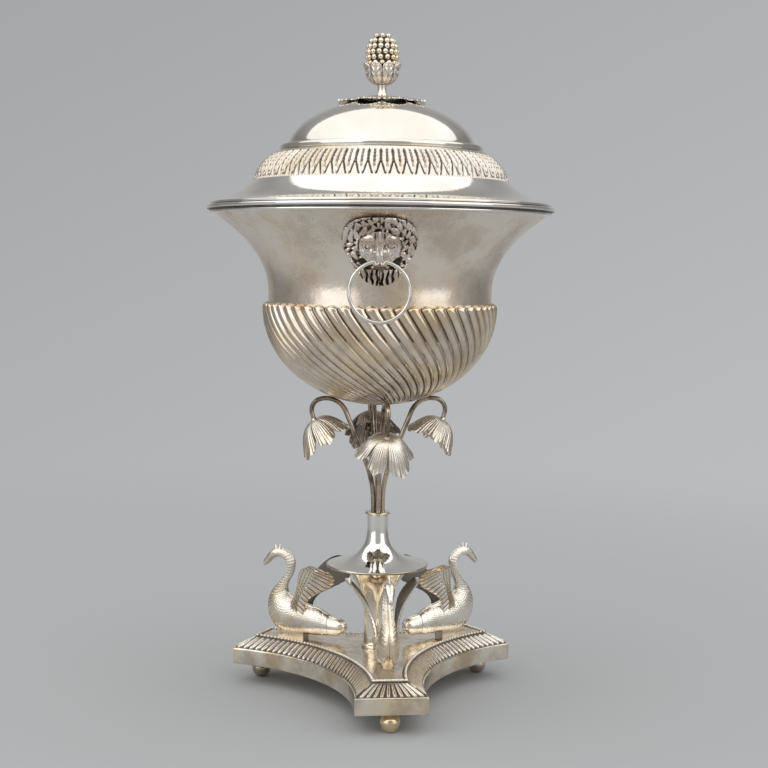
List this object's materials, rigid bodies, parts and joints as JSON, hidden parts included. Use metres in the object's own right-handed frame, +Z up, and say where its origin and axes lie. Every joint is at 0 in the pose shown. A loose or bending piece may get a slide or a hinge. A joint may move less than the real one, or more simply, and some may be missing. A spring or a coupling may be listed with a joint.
{
  "type": "covered sugar bowl",
  "caption": "Covered silver sugar bowl: domed lid, flared bowl with lion-mask ring handles, flower stems, swans and a three-armed base on ball feet.",
  "frame": {"origin": "on the table, below the middle of the bowl and of the three-armed base", "axes": "+Z up along the bowl's axis; -Y towards the front lion mask; +X to the right of it"},
  "size_m": [0.1388, 0.1388, 0.2655],
  "materials": {
    "polished_silver": "polished old silver with fine scratches and faint warm tarnish",
    "satin_silver": "satin old silver with mottled brownish tarnish",
    "chased_silver": "frosted chased silver, dark in the cuts",
    "oxidised_silver": "cast silver with black oxide in the recesses",
    "steel_fixings": "plain turned steel"
  },
  "bodies": {
    "stand_and_bowl": {"base_shell": "polished_silver", "base_underplate": "polished_silver", "leaf_border": "chased_silver", "foot_front": "polished_silver", "foot_left": "polished_silver", "foot_right": "polished_silver", "swan_front_lug": "chased_silver", "swan_left_lug": "chased_silver", "swan_right_lug": "chased_silver", "swan_front": "chased_silver", "swan_left": "chased_silver", "swan_right": "chased_silver", "swan_front_wings": "chased_silver", "swan_left_wings": "chased_silver", "swan_right_wings": "chased_silver", "column": "polished_silver", "plate_disc": "polished_silver", "pedestal": "polished_silver", "pedestal_collar": "polished_silver", "stem_plug": "satin_silver", "tie_rod": "steel_fixings", "tie_washer": "steel_fixings", "tie_nut": "steel_fixings", "stem_front": "satin_silver", "stem_right": "satin_silver", "stem_back": "satin_silver", "stem_left": "satin_silver", "flower_front": "chased_silver", "flower_right": "chased_silver", "flower_back": "chased_silver", "flower_left": "chased_silver", "bowl_cup": "satin_silver", "bowl_neck": "satin_silver", "rim_moulding": "polished_silver", "mask_front": "oxidised_silver", "mask_back": "oxidised_silver"},
    "lid": {"lid_cover": "polished_silver", "lid_bezel": "polished_silver", "lid_leaf_band": "chased_silver", "lid_wire": "polished_silver", "lid_rosette": "chased_silver", "finial_calyx": "chased_silver", "finial_berry": "oxidised_silver", "finial_stud": "steel_fixings", "finial_washer": "steel_fixings", "finial_nut": "steel_fixings"},
    "ring_front": {"ring_front": "polished_silver"},
    "ring_back": {"ring_back": "polished_silver"}
  },
  "joints": [
    {"name": "lid_lift", "type": "slide", "parent": "stand_and_bowl", "child": "lid", "axis": [0, 0, 1], "range_m": [0, 0.05]},
    {"name": "ring_front_swing", "type": "hinge", "parent": "stand_and_bowl", "child": "ring_front", "pos_m": [0, -0.0535, 0.17547], "axis": [-1, 0, 0], "range_deg": [0, 95]},
    {"name": "ring_back_swing", "type": "hinge", "parent": "stand_and_bowl", "child": "ring_back", "pos_m": [0, 0.0535, 0.17547], "axis": [1, 0, 0], "range_deg": [0, 95]}
  ]
}
